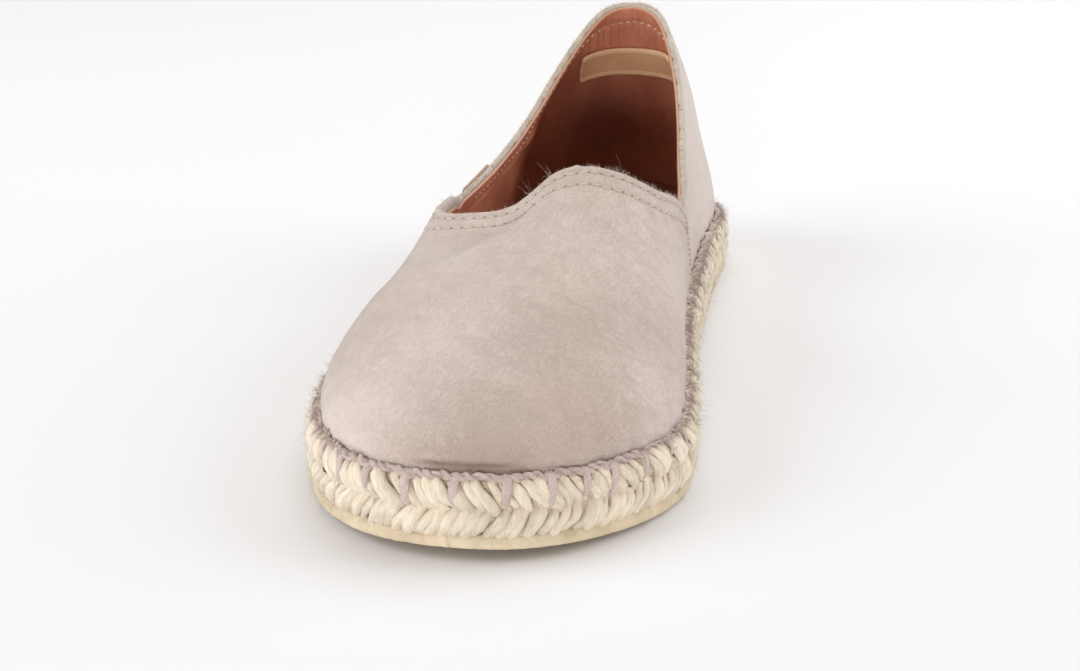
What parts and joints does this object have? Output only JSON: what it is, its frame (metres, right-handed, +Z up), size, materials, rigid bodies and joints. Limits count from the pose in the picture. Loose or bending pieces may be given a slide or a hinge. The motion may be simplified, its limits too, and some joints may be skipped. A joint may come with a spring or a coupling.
{
  "type": "espadrille",
  "caption": "Slip-on espadrille for the right foot: hollow suede upper with a lapped vamp, braided rope sole, thin rubber tread, insole, inner heel strap and a bare side tab.",
  "frame": {"origin": "on the floor, under the middle of the shoe's bounding box", "axes": "+Z up, +Y from toe to heel, +X towards the inner side of the foot"},
  "size_m": [0.0915, 0.2617, 0.0781],
  "materials": {
    "outsole": "matt",
    "jute": "coarse braid",
    "insole": "satin",
    "upper": "suede",
    "heel_band": "satin",
    "side_tab": "satin"
  },
  "bodies": {
    "root": {"outsole": "outsole", "jute_sole": "jute", "insole": "insole", "upper": "upper", "heel_band": "heel_band", "side_tab": "side_tab"}
  },
  "joints": []
}
